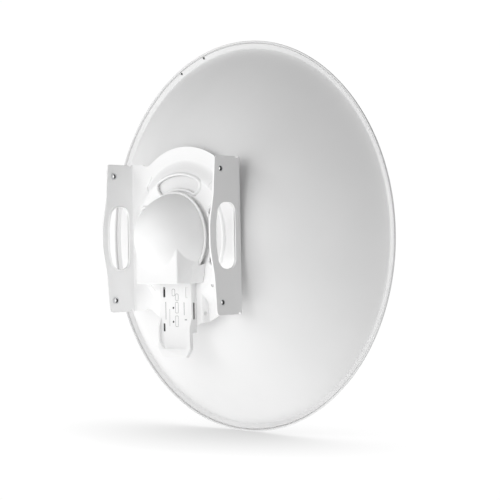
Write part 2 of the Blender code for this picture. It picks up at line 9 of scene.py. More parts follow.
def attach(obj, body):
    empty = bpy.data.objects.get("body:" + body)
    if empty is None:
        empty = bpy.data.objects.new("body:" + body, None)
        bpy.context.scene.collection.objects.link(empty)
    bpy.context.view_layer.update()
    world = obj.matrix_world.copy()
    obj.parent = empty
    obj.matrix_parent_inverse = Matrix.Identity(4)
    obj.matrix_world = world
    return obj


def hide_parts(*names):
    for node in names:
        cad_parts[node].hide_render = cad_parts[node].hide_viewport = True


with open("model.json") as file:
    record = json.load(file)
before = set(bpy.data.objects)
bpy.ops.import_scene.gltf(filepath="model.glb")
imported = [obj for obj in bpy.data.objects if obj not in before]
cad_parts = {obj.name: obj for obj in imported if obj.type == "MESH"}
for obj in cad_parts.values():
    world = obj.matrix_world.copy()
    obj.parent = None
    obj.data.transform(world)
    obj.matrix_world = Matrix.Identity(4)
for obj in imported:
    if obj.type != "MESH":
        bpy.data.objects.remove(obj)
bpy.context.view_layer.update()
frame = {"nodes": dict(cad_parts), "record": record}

# The hub is the empty place on the dish's axis that every piece is drawn about
HUB = Vector((-0.1267, 0.007, 0.0))

# Camera: fitted to the rim and the flanges of the photograph, distances in metres
CAMERA_AZIMUTH = 44.135
CAMERA_ELEVATION = -0.053
CAMERA_ROLL = -1.065
CAMERA_PLACE = Vector((1.5133, -1.5338, -0.0251))
CAMERA_LENS = 100.866
CAMERA_SENSOR = 36.0

FLOOR_Z = -0.3252

# Soft light: the way to each wide soft source and its strength, and how tight they all are
LIGHT_TIGHTNESS = 9.0
LIGHT_SOURCES = (
    ((-0.184, -0.685, 0.705), 0.266),
    ((-0.761, -0.314, 0.568), 0.581),
    ((0.74, -0.624, 0.25), 0.39),
    ((-0.046, -0.992, 0.114), 0.465),
    ((0.991, -0.133, 0.023), 0.515),
    ((0.494, -0.862, -0.114), 0.299),
    ((-0.941, 0.3, -0.159), 1.7),
    ((0.889, 0.411, -0.205), 0.1),
    ((0.82, 0.068, -0.568), 0.075),
    ((-0.536, -0.58, -0.614), 2.058),
    ((0.483, 0.366, -0.795), 1.394),
    ((-0.097, -0.532, -0.841), 0.398),
    ((-0.189, -0.097, -0.977), 1.419),
    ((0.35, 0.93, 0.1), 1.4),
    ((-0.5, 0.8, 0.33), 1.0),
)

# Round diffusers half a metre wide: the place from the hub in metres, and watts
DIFFUSERS = (
    ((0.15, -0.70, 0.10), 1.701),
    ((0.50, -0.80, -0.30), 0.241),
    ((-0.50, -0.80, 0.60), 1.76),
)

# Fit between pieces that touch
GAP = 0.0003

# Reflector
SKIN = 0.0015
PARABOLA = 0.660
BOWL_BOTTOM_Y = -0.0135
HUB_HOLE_RADIUS = 0.032
HUB_FLAT_Y = -0.0087
HUB_FLAT_RADIUS = 0.099
HUB_WALL_RADIUS = 0.114
CREST_RADIUS = 0.3128
BEAD_CENTRE = (0.32352, 0.1295)
BEAD_RADIUS = 0.0014
RIM_HOLE_RADIUS = 0.0023
RIM_HOLE_AT = 0.3188
RIM_HOLE_ANGLES = (15.4, 26.2)

# Bracket
SHEET = 0.003
FOLD_X = 0.1267
FOLD_RADIUS = 0.004
FLANGE_Z = 0.1215
FLANGE_EDGE_Y = -0.0538
FLANGE_WAIST_Y = -0.0572
FLANGE_BELLY_Y = -0.0665
FLANGE_BELLY_Z = 0.075
FLANGE_CORNER = 0.006
PLATE_EDGE_RADIUS = 0.1445
PLATE_SHOULDER_X = 0.1187
PLATE_SHOULDER_Z = 0.121
RAISED_Y = -0.012
RAISED_TOP_RADIUS = 0.1005
RAISED_FOOT_RADIUS = 0.122
TONGUE_TOP_X = 0.046
TONGUE_FOOT_X = 0.0525
TONGUE_START_Z = -0.045
PLATE_HOLE_RADIUS = 0.045
SLOT_NEAR_Y = -0.0121
SLOT_BELLY_Y = -0.0536
SLOT_HALF_LENGTH = 0.051
SLOT_END_RADIUS = 0.014
FLANGE_HOLE_RADIUS = 0.0048
FLANGE_HOLE_Y = -0.042
FLANGE_HOLE_Z = 0.102
WINDOW_INNER_RADIUS = 0.0725
WINDOW_OUTER_RADIUS = 0.103
WINDOW_HALF_ANGLE = 34.6
WINDOW_CORNER_ANGLE = 8.0
WINDOW_LIP = 0.005
FAR = 0.2

# Housing
DRUM_RADIUS = 0.058
NECK_RADIUS = 0.030
NECK_END_Y = 0.004
BRIM_BACK_Y = -0.0242
DOME_RADIUS = 0.069
DOME_BACK_Y = -0.089
DOME_POWER = 1.5
BOX_HALF_WIDTH = 0.0483
BOX_FLARE = (0.0530, 0.0595)
BOX_FLARE_Z = -0.042
BOX_BACK_Y = -0.0633
BOX_TOP_Z = 0.020
BOX_LOW_Z = -0.0735

# Radio body and port cover
BODY_HALF_WIDTH = 0.0365
BODY_BACK_Y = -0.0207
PANEL_Y = -0.0232
BODY_TOP_Z = -0.0595
BODY_LOW_Z = -0.152
COVER_TOP_Z = -0.121
COVER_LOW_Z = -0.191
COVER_RAMP_TOP_Z = -0.128
COVER_RAMP_Z = -0.143
COVER_WEB_Y = -0.02325
COVER_RIM_Y = -0.028
COVER_HALF_WIDTH = 0.0372


def srgb(text):
    """A linear colour from a hex value such as F2F2F0."""
    channels = []
    for start in (0, 2, 4):
        value = int(text[start:start + 2], 16) / 255
        if value <= 0.04045:
            channels.append(value / 12.92)
        else:
            channels.append(((value + 0.055) / 1.055) ** 2.4)
    return (*channels, 1.0)


def add_node(tree, kind, settings=None, links=None, **properties):
    """Adds a node: settings fill its sockets, links feed them, properties go on the node."""
    node = tree.nodes.new(kind)
    for name, value in properties.items():
        setattr(node, name, value)
    for socket, value in (settings or {}).items():
        node.inputs[socket].default_value = value
    for socket, source in (links or {}).items():
        tree.links.new(source, node.inputs[socket])
    return node


def new_material(name, settings):
    """A Principled material and its tree and shader."""
    made = bpy.data.materials.new(name)
    made.use_nodes = True
    shader = made.node_tree.nodes["Principled BSDF"]
    for socket, value in settings.items():
        shader.inputs[socket].default_value = value
    return made, made.node_tree, shader


def powder_coat(name, light, dark, roughness):
    """Polyester powder coat on steel: white, satin, with a fine orange peel about 1.6 mm across."""
    made, tree, shader = new_material(name, {"IOR": 1.5, "Roughness": roughness})
    place = add_node(tree, "ShaderNodeTexCoord").outputs["Object"]
    cloud = add_node(
        tree, "ShaderNodeTexNoise", {"Scale": 9.0, "Detail": 3.0, "Roughness": 0.5}, {"Vector": place}
    )
    tone = add_node(tree, "ShaderNodeValToRGB", {}, {"Fac": cloud.outputs["Fac"]})
    tone.color_ramp.elements[0].position = 0.3
    tone.color_ramp.elements[0].color = srgb(dark)
    tone.color_ramp.elements[1].position = 0.7
    tone.color_ramp.elements[1].color = srgb(light)
    tree.links.new(tone.outputs["Color"], shader.inputs["Base Color"])
    peel = add_node(
        tree, "ShaderNodeTexNoise", {"Scale": 620.0, "Detail": 2.0, "Roughness": 0.45}, {"Vector": place}
    )
    gloss = add_node(
        tree,
        "ShaderNodeMapRange",
        {"To Min": roughness - 0.05, "To Max": roughness + 0.06},
        {"Value": cloud.outputs["Fac"]},
    )
    tree.links.new(gloss.outputs["Result"], shader.inputs["Roughness"])
    bump = add_node(
        tree, "ShaderNodeBump", {"Strength": 0.25, "Distance": 0.00012}, {"Height": peel.outputs["Fac"]}
    )
    tree.links.new(bump.outputs["Normal"], shader.inputs["Normal"])
    return made


def moulded_plastic(name, light, dark, roughness, grain=0.0007):
    """Injection-moulded ASA: matt, with the spark-eroded grain of the mould, drawn 0.7 mm wide."""
    made, tree, shader = new_material(name, {"IOR": 1.52, "Roughness": roughness})
    place = add_node(tree, "ShaderNodeTexCoord").outputs["Object"]
    cloud = add_node(
        tree, "ShaderNodeTexNoise", {"Scale": 14.0, "Detail": 2.0, "Roughness": 0.5}, {"Vector": place}
    )
    tone = add_node(tree, "ShaderNodeValToRGB", {}, {"Fac": cloud.outputs["Fac"]})
    tone.color_ramp.elements[0].position = 0.3
    tone.color_ramp.elements[0].color = srgb(dark)
    tone.color_ramp.elements[1].position = 0.7
    tone.color_ramp.elements[1].color = srgb(light)
    tree.links.new(tone.outputs["Color"], shader.inputs["Base Color"])
    pits = add_node(
        tree, "ShaderNodeTexVoronoi", {"Scale": 1.0 / grain}, {"Vector": place}, feature="SMOOTH_F1"
    )
    gloss = add_node(
        tree,
        "ShaderNodeMapRange",
        {"To Min": roughness - 0.04, "To Max": roughness + 0.08},
        {"Value": pits.outputs["Distance"]},
    )
    tree.links.new(gloss.outputs["Result"], shader.inputs["Roughness"])
    bump = add_node(
        tree, "ShaderNodeBump", {"Strength": 0.2, "Distance": 0.00008}, {"Height": pits.outputs["Distance"]}
    )
    tree.links.new(bump.outputs["Normal"], shader.inputs["Normal"])
    return made


def zinc_plate(name, colour, roughness):
    """Blue-passivated zinc on steel: pale, slightly blotched metal."""
    made, tree, shader = new_material(name, {"Metallic": 1.0, "Base Color": srgb(colour)})
    place = add_node(tree, "ShaderNodeTexCoord").outputs["Object"]
    blotch = add_node(
        tree, "ShaderNodeTexNoise", {"Scale": 260.0, "Detail": 4.0, "Roughness": 0.6}, {"Vector": place}
    )
    gloss = add_node(
        tree,
        "ShaderNodeMapRange",
        {"To Min": roughness - 0.08, "To Max": roughness + 0.12},
        {"Value": blotch.outputs["Fac"]},
    )
    tree.links.new(gloss.outputs["Result"], shader.inputs["Roughness"])
    bump = add_node(
        tree, "ShaderNodeBump", {"Strength": 0.15, "Distance": 0.00005}, {"Height": blotch.outputs["Fac"]}
    )
    tree.links.new(bump.outputs["Normal"], shader.inputs["Normal"])
    return made


def spun_aluminium(name, colour, roughness):
    """Turned aluminium: fine rings about the dish's axis, 0.6 mm apart, which draw the light out."""
    made, tree, shader = new_material(name, {"Metallic": 1.0, "Base Color": srgb(colour)})
    place = add_node(tree, "ShaderNodeTexCoord").outputs["Object"]
    centred = add_node(tree, "ShaderNodeMapping", {"Location": tuple(-HUB)}, {"Vector": place})
    rings = add_node(
        tree,
        "ShaderNodeTexWave",
        {"Scale": 260.0, "Distortion": 0.3, "Detail": 2.0},
        {"Vector": centred.outputs["Vector"]},
        wave_type="RINGS",
        rings_direction="Y",
    )
    gloss = add_node(
        tree,
        "ShaderNodeMapRange",
        {"To Min": roughness - 0.06, "To Max": roughness + 0.08},
        {"Value": rings.outputs["Fac"]},
    )
    tree.links.new(gloss.outputs["Result"], shader.inputs["Roughness"])
    bump = add_node(
        tree, "ShaderNodeBump", {"Strength": 0.3, "Distance": 0.00006}, {"Height": rings.outputs["Fac"]}
    )
    tree.links.new(bump.outputs["Normal"], shader.inputs["Normal"])
    return made


def spread(low, high, count):
    """Evenly spaced numbers from low to high, both included."""
    return [low + (high - low) * step / (count - 1) for step in range(count)]


def smooth_step(share):
    """Eases from 0 to 1 as share goes from 0 to 1."""
    share = min(1.0, max(0.0, share))
    return share * share * (3.0 - 2.0 * share)


def turned(profile, steps, at=(0.0, 0.0)):
    """A closed outline of (radius, y) points, turned about the Y axis through at = (x, z)."""
    made = bmesh.new()
    corners = [made.verts.new((radius, y, 0.0)) for radius, y in profile]
    for first, second in zip(corners, corners[1:] + corners[:1]):
        if first.co.x > 0 or second.co.x > 0:
            made.edges.new((first, second))
    bmesh.ops.spin(
        made,
        geom=list(made.verts) + list(made.edges),
        cent=(0, 0, 0),
        axis=(0, 1, 0),
        angle=math.tau,
        steps=steps,
        use_merge=True,
    )
    bmesh.ops.remove_doubles(made, verts=made.verts, dist=1e-6)
    bmesh.ops.recalc_face_normals(made, faces=made.faces)
    bmesh.ops.translate(made, verts=made.verts, vec=(at[0], 0.0, at[1]))
    return made


def prism_along(axis, outline, low, high):
    """An outline drawn across one axis and pulled along it: (y, z), (x, z) or (x, y) points."""
    place_for = {"X": 0, "Y": 1, "Z": 2}[axis]
    made = bmesh.new()
    corners = []
    for point in outline:
        spot = list(point)
        spot.insert(place_for, low)
        corners.append(made.verts.new(spot))
    pull = Vector((0.0, 0.0, 0.0))
    pull[place_for] = high - low
    face = made.faces.new(corners)
    grown = bmesh.ops.extrude_face_region(made, geom=[face])
    tops = [item for item in grown["geom"] if isinstance(item, bmesh.types.BMVert)]
    bmesh.ops.translate(made, verts=tops, vec=pull)
    bmesh.ops.recalc_face_normals(made, faces=made.faces)
    return made


def block(low, high):
    """A box between two corners."""
    made = bmesh.new()
    bmesh.ops.create_cube(made, size=1.0)
    middle = (Vector(low) + Vector(high)) / 2
    size = Vector(high) - Vector(low)
    bmesh.ops.transform(
        made, matrix=Matrix.Translation(middle) @ Matrix.Diagonal((*size, 1.0)), verts=made.verts
    )
    return made


def round_edges(made, edges, radius, segments=3):
    """Rounds some edges of a bmesh."""
    bmesh.ops.bevel(
        made,
        geom=edges,
        affect="EDGES",
        offset=radius,
        segments=segments,
        profile=0.5,
        material=-1,
    )
    return made


def soft_block(low, high, radius, segments=3):
    """A box between two corners with all its edges rounded."""
    made = block(low, high)
    return round_edges(made, list(made.edges), radius, segments)


def ring_points(radius, count, at=(0.0, 0.0)):
    """Points on a circle about at."""
    points = []
    for step in range(count):
        way = math.tau * step / count
        points.append((at[0] + radius * math.cos(way), at[1] + radius * math.sin(way)))
    return points


def round_slot(half_wide, half_tall, radius, at=(0.0, 0.0), steps=6):
    """A rectangle with round corners about at, as (u, v) points."""
    points = []
    for side, level, start in ((1, 1, 0.0), (-1, 1, 90.0), (-1, -1, 180.0), (1, -1, 270.0)):
        for turn in spread(start, start + 90.0, steps):
            way = math.radians(turn)
            points.append(
                (
                    at[0] + side * (half_wide - radius) + radius * math.cos(way),
                    at[1] + level * (half_tall - radius) + radius * math.sin(way),
                )
            )
    return points


def drawn_in(outline, distance):
    """A closed outline moved inwards everywhere by a distance, or outwards where it is negative."""
    area = 0.0
    for (ax, ay), (bx, by) in zip(outline, outline[1:] + outline[:1]):
        area += ax * by - bx * ay
    side = 1.0 if area > 0 else -1.0
    moved = []
    for before, here, after in zip(outline[-1:] + outline[:-1], outline, outline[1:] + outline[:1]):
        come = (Vector(here) - Vector(before)).normalized()
        leave = (Vector(after) - Vector(here)).normalized()
        inward = Vector((-come.y - leave.y, come.x + leave.x)) * side
        reach = distance / max(0.35, inward.length / 2)
        moved.append(tuple(Vector(here) + inward.normalized() * reach))
    return moved


def rolled_lip(outlines, put):
    """A closed ring: an outline pulled through each (outline, height) and back to the first."""
    made = bmesh.new()
    first, height = outlines[0]
    corners = [made.verts.new(put(u, v, height)) for u, v in first]
    edges = [made.edges.new(pair) for pair in zip(corners, corners[1:] + corners[:1])]
    for outline, height in outlines[1:] + outlines[:1]:
        grown = bmesh.ops.extrude_edge_only(made, edges=edges)["geom"]
        fresh = {item for item in grown if isinstance(item, bmesh.types.BMVert)}
        edges = [item for item in grown if isinstance(item, bmesh.types.BMEdge) and fresh.issuperset(item.verts)]
        partners = []
        for corner in corners:
            beside = [edge.other_vert(corner) for edge in corner.link_edges]
            partners += [vert for vert in beside if vert in fresh]
        corners = partners
        for corner, (u, v) in zip(corners, outline):
            corner.co = put(u, v, height)
    bmesh.ops.remove_doubles(made, verts=made.verts, dist=1e-6)
    bmesh.ops.recalc_face_normals(made, faces=made.faces)
    return made


def together(shapes):
    """Several separate shapes in one bmesh."""
    made = bmesh.new()
    for shape in shapes:
        scratch = bpy.data.meshes.new("scratch")
        shape.to_mesh(scratch)
        shape.free()
        made.from_mesh(scratch)
        bpy.data.meshes.remove(scratch)
    return made


def as_object(name, made):
    """A bmesh as an object at the origin."""
    mesh = bpy.data.meshes.new(name)
    made.to_mesh(mesh)
    made.free()
    thing = bpy.data.objects.new(name, mesh)
    bpy.context.scene.collection.objects.link(thing)
    return thing


def keep_modifiers(thing):
    """Makes what the modifiers show the piece's own mesh."""
    bpy.context.view_layer.update()
    graph = bpy.context.evaluated_depsgraph_get()
    result = bpy.data.meshes.new_from_object(thing.evaluated_get(graph))
    old = thing.data
    thing.modifiers.clear()
    thing.data = result
    bpy.data.meshes.remove(old)
    result.name = thing.name
    return thing


def carve(thing, made, operation="DIFFERENCE"):
    """Cuts a shape out of a piece, or joins it on."""
    tool = as_object("carving_shape", made)
    change = thing.modifiers.new("carve", "BOOLEAN")
    change.object = tool
    change.operation = operation
    change.solver = "EXACT"
    keep_modifiers(thing)
    mesh = tool.data
    bpy.data.objects.remove(tool)
    bpy.data.meshes.remove(mesh)
    return thing


def take_mesh(thing):
    """The piece's mesh as a bmesh; the object is removed."""
    made = bmesh.new()
    made.from_mesh(thing.data)
    mesh = thing.data
    bpy.data.objects.remove(thing)
    bpy.data.meshes.remove(mesh)
    return made


def finish(name, made, material, nodes=(), smooth=35.0, normals=True):
    """Turns a bmesh drawn about the hub into a piece on the root body, in place of CAD nodes."""
    bmesh.ops.remove_doubles(made, verts=made.verts, dist=1e-6)
    if normals:
        bmesh.ops.recalc_face_normals(made, faces=made.faces)
    bmesh.ops.translate(made, verts=made.verts, vec=HUB)
    thing = as_object(name, made)
    thing.data.materials.clear()
    thing.data.materials.append(material)
    thing.data.shade_smooth()
    thing.data.set_sharp_from_angle(angle=math.radians(smooth))
    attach(thing, "root")
    if nodes:
        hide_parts(*nodes)
    return thing


def bowl_back(radius):
    """The y of the reflector's back skin at a radius outside the hub."""
    return BOWL_BOTTOM_Y + radius * radius / PARABOLA


def bowl_front(radius):
    """The y of the reflector's front skin, one skin thickness away along the normal."""
    return bowl_back(radius) + SKIN * math.hypot(1.0, 2.0 * radius / PARABOLA)


def hub_wall(inset):
    """The S-shaped step between the flat hub and the bowl, as (radius, y) points."""
    points = []
    for share in spread(0.0, 1.0, 14):
        radius = HUB_FLAT_RADIUS + (HUB_WALL_RADIUS + 0.004 - HUB_FLAT_RADIUS) * share
        y = HUB_FLAT_Y + (bowl_back(radius) - HUB_FLAT_Y) * smooth_step(share * 0.9 + 0.1 * share**3)
        points.append((radius - inset * 0.5, y + inset))
    return points


def make_dish(paint, dark):
    """The pressed bowl: flat hub, step, paraboloid, rounded crest, turned-back band and rolled bead."""
    radii = spread(HUB_WALL_RADIUS + 0.008, CREST_RADIUS - 0.0022, 40)
    back = [(HUB_HOLE_RADIUS, HUB_FLAT_Y + 0.0004), (HUB_HOLE_RADIUS + 0.0004, HUB_FLAT_Y)]
    back += hub_wall(0.0)
    back += [(radius, bowl_back(radius)) for radius in radii]
    crest_y = bowl_back(CREST_RADIUS)
    back += [
        (CREST_RADIUS - 0.0011, crest_y - 0.00095),
        (CREST_RADIUS - 0.0002, crest_y - 0.0005),
        (CREST_RADIUS + 0.0008, crest_y - 0.0007),
        (CREST_RADIUS + 0.0034, crest_y - 0.0019),
        (CREST_RADIUS + 0.0070, crest_y - 0.0038),
        (CREST_RADIUS + 0.0075, crest_y - 0.0037),
        (CREST_RADIUS + 0.0079, crest_y - 0.0022),
        (CREST_RADIUS + 0.0083, crest_y - 0.0012),
        (CREST_RADIUS + 0.0088, crest_y - 0.0010),
        (CREST_RADIUS + 0.0092, crest_y - 0.0015),
        (CREST_RADIUS + 0.0093, crest_y - 0.0030),
    ]
    bead = []
    for turn in spread(185.0, 430.0, 16):
        way = math.radians(turn)
        bead.append(
            (BEAD_CENTRE[0] + BEAD_RADIUS * math.cos(way), BEAD_CENTRE[1] + BEAD_RADIUS * math.sin(way))
        )
    front = [
        (CREST_RADIUS + 0.0104, crest_y - 0.0016),
        (CREST_RADIUS + 0.0098, crest_y - 0.0001),
        (CREST_RADIUS + 0.0088, crest_y + 0.0005),
        (CREST_RADIUS + 0.0074, crest_y + 0.0001),
        (CREST_RADIUS + 0.0060, crest_y - 0.0014),
        (CREST_RADIUS + 0.0034, crest_y - 0.0004),
        (CREST_RADIUS + 0.0016, crest_y + 0.0006),
        (CREST_RADIUS + 0.0006, crest_y + 0.00095),
        (CREST_RADIUS - 0.0006, crest_y + 0.0009),
    ]
    front += [(radius - 0.0004, bowl_front(radius)) for radius in reversed(radii)]
    front += list(reversed(hub_wall(SKIN)))
    front += [
        (HUB_HOLE_RADIUS + 0.0004, HUB_FLAT_Y + SKIN),
        (HUB_HOLE_RADIUS, HUB_FLAT_Y + SKIN - 0.0004),
    ]
    dish = as_object("dish_skin", turned(back + bead + front, 320))
    holes = []
    plugs = []
    for angle in RIM_HOLE_ANGLES:
        way = math.radians(angle)
        spot = (-RIM_HOLE_AT * math.sin(way), RIM_HOLE_AT * math.cos(way))
        outline = ring_points(RIM_HOLE_RADIUS, 20, spot)
        holes.append(prism_along("Y", outline, BEAD_CENTRE[1] - 0.01, BEAD_CENTRE[1] + 0.02))
        plug = [(0.0, crest_y - 0.0027), (0.0017, crest_y - 0.0027), (0.0021, crest_y - 0.0024)]
        plug += [(0.0021, crest_y - 0.0016), (0.0, crest_y - 0.0016)]
        plugs.append(turned(plug, 20, spot))
    carve(dish, together(holes))
    finish("dish", take_mesh(dish), paint, ("reflector",), normals=False)
    finish("rim_hole_plugs", together(plugs), dark)


def bracket_section():
    """The rear skin of the folded sheet as (x, y) points, from the right flange to the left one."""
    inner = FOLD_X - SHEET
    side = [(inner, -0.075), (inner, -0.06), (inner, -0.045), (inner, -0.03), (inner, -0.015)]
    for turn in spread(0.0, 90.0, 8):
        way = math.radians(turn)
        side.append(
            (inner - FOLD_RADIUS + FOLD_RADIUS * math.cos(way), -FOLD_RADIUS + FOLD_RADIUS * math.sin(way))
        )
    side += [(x, 0.0) for x in spread(inner - FOLD_RADIUS - 0.002, 0.062, 29)]
    side += [(x, 0.0) for x in spread(0.060, TONGUE_FOOT_X + 0.001, 7)]
    side += [(x, 0.0) for x in spread(TONGUE_FOOT_X, TONGUE_TOP_X - 0.0006, 15)]
    side += [(x, 0.0) for x in spread(TONGUE_TOP_X - 0.002, 0.002, 21)]
    return side + [(0.0, 0.0)] + [(-x, y) for x, y in reversed(side)]


def pressed(x, z):
    """How far the plate is pressed back at a place: 0 on the flat, 1 on the raised middle."""
    radius = math.hypot(x, z)
    share = (RAISED_FOOT_RADIUS - radius) / (RAISED_FOOT_RADIUS - RAISED_TOP_RADIUS)
    disc = 0.5 * smooth_step(share) + 0.5 * min(1.0, max(0.0, share))
    tongue = 0.0
    if z < TONGUE_START_Z:
        across = (abs(x) - TONGUE_TOP_X) / (TONGUE_FOOT_X - TONGUE_TOP_X)
        across = min(1.0, max(0.0, across))
        tongue = math.sqrt(1.0 - across**2.4)
    return max(disc, tongue)


def bracket_sheet():
    """The folded sheet with its pressed middle, before it is cut to its outline."""
    made = bmesh.new()
    row = [made.verts.new((x, y, -0.1475)) for x, y in bracket_section()]
    for pair in zip(row, row[1:]):
        made.edges.new(pair)
    bmesh.ops.spin(
        made,
        geom=list(made.verts) + list(made.edges),
        cent=(0, 0, 0),
        axis=(0, 0, 1),
        dvec=(0.0, 0.0, 0.00177),
        angle=0.0,
        steps=167,
    )
    for vert in made.verts:
        if vert.co.y > -FOLD_RADIUS - 0.0001:
            vert.co.y += RAISED_Y * pressed(vert.co.x, vert.co.z)
    made.normal_update()
    turned_wrong = [face for face in made.faces if face.normal.y > 0.2]
    if turned_wrong:
        bmesh.ops.reverse_faces(made, faces=made.faces)
    sheet = as_object("bracket_sheet", made)
    wall = sheet.modifiers.new("wall", "SOLIDIFY")
    wall.thickness = SHEET
    wall.offset = -1.0
    wall.use_even_offset = True
    return keep_modifiers(sheet)


def plate_trim(sign):
    """What is cut away above (sign 1) or below (sign -1) the plate's curved edge."""
    shoulder = [(PLATE_SHOULDER_X, PLATE_SHOULDER_Z), (0.105, PLATE_SHOULDER_Z), (0.101, 0.1207)]
    shoulder += [(0.097, 0.1197), (0.093, 0.1184), (0.089, 0.1179), (0.085, 0.1182), (0.081, 0.1196)]
    arc = []
    for turn in spread(59.0, 121.0, 49):
        way = math.radians(turn)
        arc.append((PLATE_EDGE_RADIUS * math.cos(way), PLATE_EDGE_RADIUS * math.sin(way)))
    edge = shoulder + arc + [(-x, z) for x, z in reversed(shoulder)]
    outline = [(x, sign * z) for x, z in edge]
    outline += [(-PLATE_SHOULDER_X, sign * FAR), (PLATE_SHOULDER_X, sign * FAR)]
    return prism_along("Y", outline, -0.02, 0.02)


def flange_edge(z):
    """The y of the flange's free edge at a height."""
    height = abs(z)
    waist_share = min(1.0, max(0.0, (height - FLANGE_BELLY_Z) / (FLANGE_Z - FLANGE_BELLY_Z)))
    straight = FLANGE_WAIST_Y + (FLANGE_EDGE_Y - FLANGE_WAIST_Y) * waist_share
    belly = smooth_step(1.15 * (1.0 - height / FLANGE_BELLY_Z))
    return straight + (FLANGE_BELLY_Y - FLANGE_WAIST_Y) * belly


def corner_inset(height, half_length, radius):
    """How far an outline has turned in at a height, where its end is round."""
    into = height - (half_length - radius)
    if into <= 0:
        return 0.0
    return radius - math.sqrt(max(0.0, radius * radius - into * into))


def end_heights(half_length, radius, middle, end):
    """Heights along an outline with round ends, close together in the ends."""
    low = spread(-(half_length - radius), half_length - radius, middle)
    top = []
    for turn in spread(0.0, 90.0, end)[1:]:
        top.append(half_length - radius + radius * math.sin(math.radians(turn)))
    return [-z for z in reversed(top)] + low + top


def flange_trim():
    """What is cut away beyond the flanges' free edges."""
    corner_y = flange_edge(FLANGE_Z) + FLANGE_CORNER
    outline = [(-FAR, -FAR), (corner_y, -FAR)]
    for z in end_heights(FLANGE_Z, FLANGE_CORNER, 81, 8):
        inset = corner_inset(abs(z), FLANGE_Z, FLANGE_CORNER)
        outline.append((flange_edge(z) + inset, z))
    outline += [(corner_y, FAR), (-FAR, FAR)]
    return prism_along("X", outline, -FAR, FAR)


def slot_outline():
    """The flange slot: straight beside the fold, bowed like the free edge, round ends."""
    near = []
    bowed = []
    for z in end_heights(SLOT_HALF_LENGTH, SLOT_END_RADIUS, 33, 12):
        inset = corner_inset(abs(z), SLOT_HALF_LENGTH, SLOT_END_RADIUS)
        near.append((SLOT_NEAR_Y - inset, z))
        bowed.append((flange_edge(z) + SLOT_BELLY_Y - FLANGE_BELLY_Y + inset, z))
    return near + list(reversed(bowed))


def window_outline(turn, inset):
    """A kidney between two arcs with round ends, drawn in by inset and turned about the hub."""
    points = []
    middle = (WINDOW_INNER_RADIUS + WINDOW_OUTER_RADIUS) / 2
    half_wide = (WINDOW_OUTER_RADIUS - WINDOW_INNER_RADIUS) / 2 - inset
    straight = WINDOW_HALF_ANGLE - WINDOW_CORNER_ANGLE
    corner = WINDOW_CORNER_ANGLE - math.degrees(inset / middle)
    outer = [(angle, half_wide) for angle in spread(-straight, straight, 33)]
    right = []
    for way in spread(90.0, -90.0, 25)[1:-1]:
        turned_in = math.radians(way)
        right.append((straight + corner * math.cos(turned_in), half_wide * math.sin(turned_in)))
    inner = [(angle, -half_wide) for angle in spread(straight, -straight, 33)]
    left = [(-angle, offset) for angle, offset in reversed(right)]
    for angle, offset in outer + right + inner + left:
        way = math.radians(angle + turn)
        points.append(((middle + offset) * math.sin(way), (middle + offset) * math.cos(way)))
    return points


def window_lip(turn):
    """The rounded lip round a window, drawn as (inset, height) steps over the raised middle."""
    section = [
        (-0.0006, -0.0005),
        (0.0, 0.0003),
        (0.0005, 0.0012),
        (0.0013, 0.0022),
        (0.0022, 0.0028),
        (0.0031, 0.0030),
        (0.0040, 0.0029),
        (0.0046, 0.0025),
        (0.0050, 0.0018),
        (0.0050, -0.0031),
        (0.0040, -0.0031),
    ]
    loops = [(window_outline(turn, inset), height) for inset, height in section]
    return rolled_lip(loops, lambda u, v, height: (u, RAISED_Y - height, v))


def slot_collar(side):
    """The drawn collar round a slot, on the flange's inner face."""
    section = [(0.0, -0.001), (0.0, 0.0016), (0.0004, 0.0022), (0.0011, 0.0022), (0.0018, 0.0014)]
    section += [(0.0024, 0.0004), (0.0030, -0.0003)]
    outline = slot_outline()
    loops = [(drawn_in(outline, -inset), height) for inset, height in section]
    inner = FOLD_X - SHEET
    return rolled_lip(loops, lambda u, v, height: (side * (inner - height), u, v))


def ridge(points, half_wide, height, put):
    """A low bead along a line of (u, v) points."""
    made = bmesh.new()
    way = [Vector(point) for point in points]
    left, right = [], []
    for step, here in enumerate(way):
        before = way[max(0, step - 1)]
        after = way[min(len(way) - 1, step + 1)]
        along = (after - before).normalized()
        across = Vector((-along.y, along.x)) * half_wide
        left.append(made.verts.new(put(*(here + across), 0.0)))
        right.append(made.verts.new(put(*(here - across), 0.0)))
    for step in range(len(way) - 1):
        made.faces.new((left[step], left[step + 1], right[step + 1], right[step]))
    grown = bmesh.ops.extrude_face_region(made, geom=list(made.faces))
    tops = [item for item in grown["geom"] if isinstance(item, bmesh.types.BMVert)]
    lift = Vector(put(0.0, 0.0, height)) - Vector(put(0.0, 0.0, 0.0))
    bmesh.ops.translate(made, verts=tops, vec=lift)
    bmesh.ops.recalc_face_normals(made, faces=made.faces)
    return made


